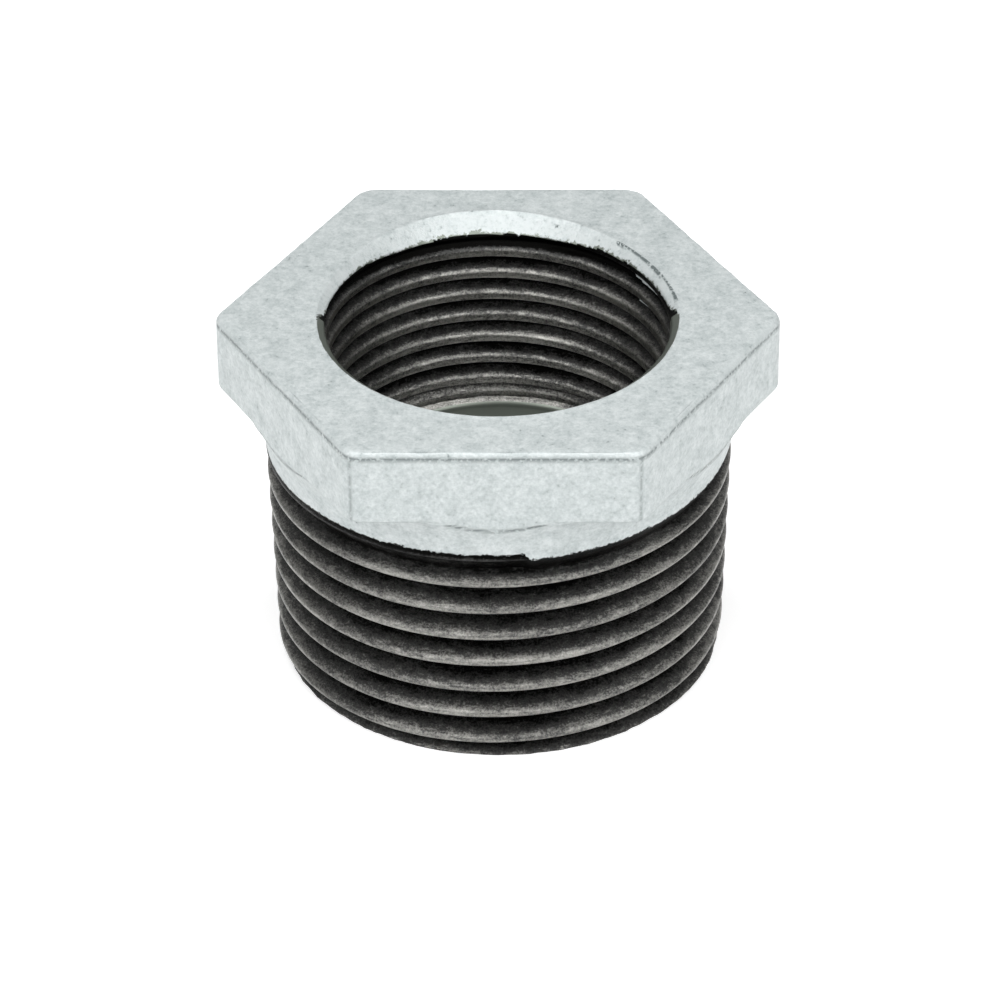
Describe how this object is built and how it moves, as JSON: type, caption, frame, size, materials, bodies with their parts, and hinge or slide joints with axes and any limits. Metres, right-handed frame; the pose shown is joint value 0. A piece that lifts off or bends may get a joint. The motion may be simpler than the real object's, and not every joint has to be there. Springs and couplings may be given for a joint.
{
  "type": "hex bushing",
  "caption": "Reducing bushing with a hexagonal head, a tapered outside pipe thread below it and a smaller tapered inside pipe thread through the head.",
  "frame": {"origin": "centre of the flat annulus at the thread end, which is what the part stands on", "axes": "+Z along the common axis of both threads towards the hexagonal head, +X through a corner of the hexagon, +Y square to a pair of flats"},
  "size_m": [0.0404, 0.0354, 0.0272],
  "materials": {
    "galvanised_iron": "hot-dip galvanised zinc, satin, with bare oiled iron on both cut threads"
  },
  "bodies": {
    "root": {"hex_bushing": "galvanised_iron"}
  },
  "joints": []
}
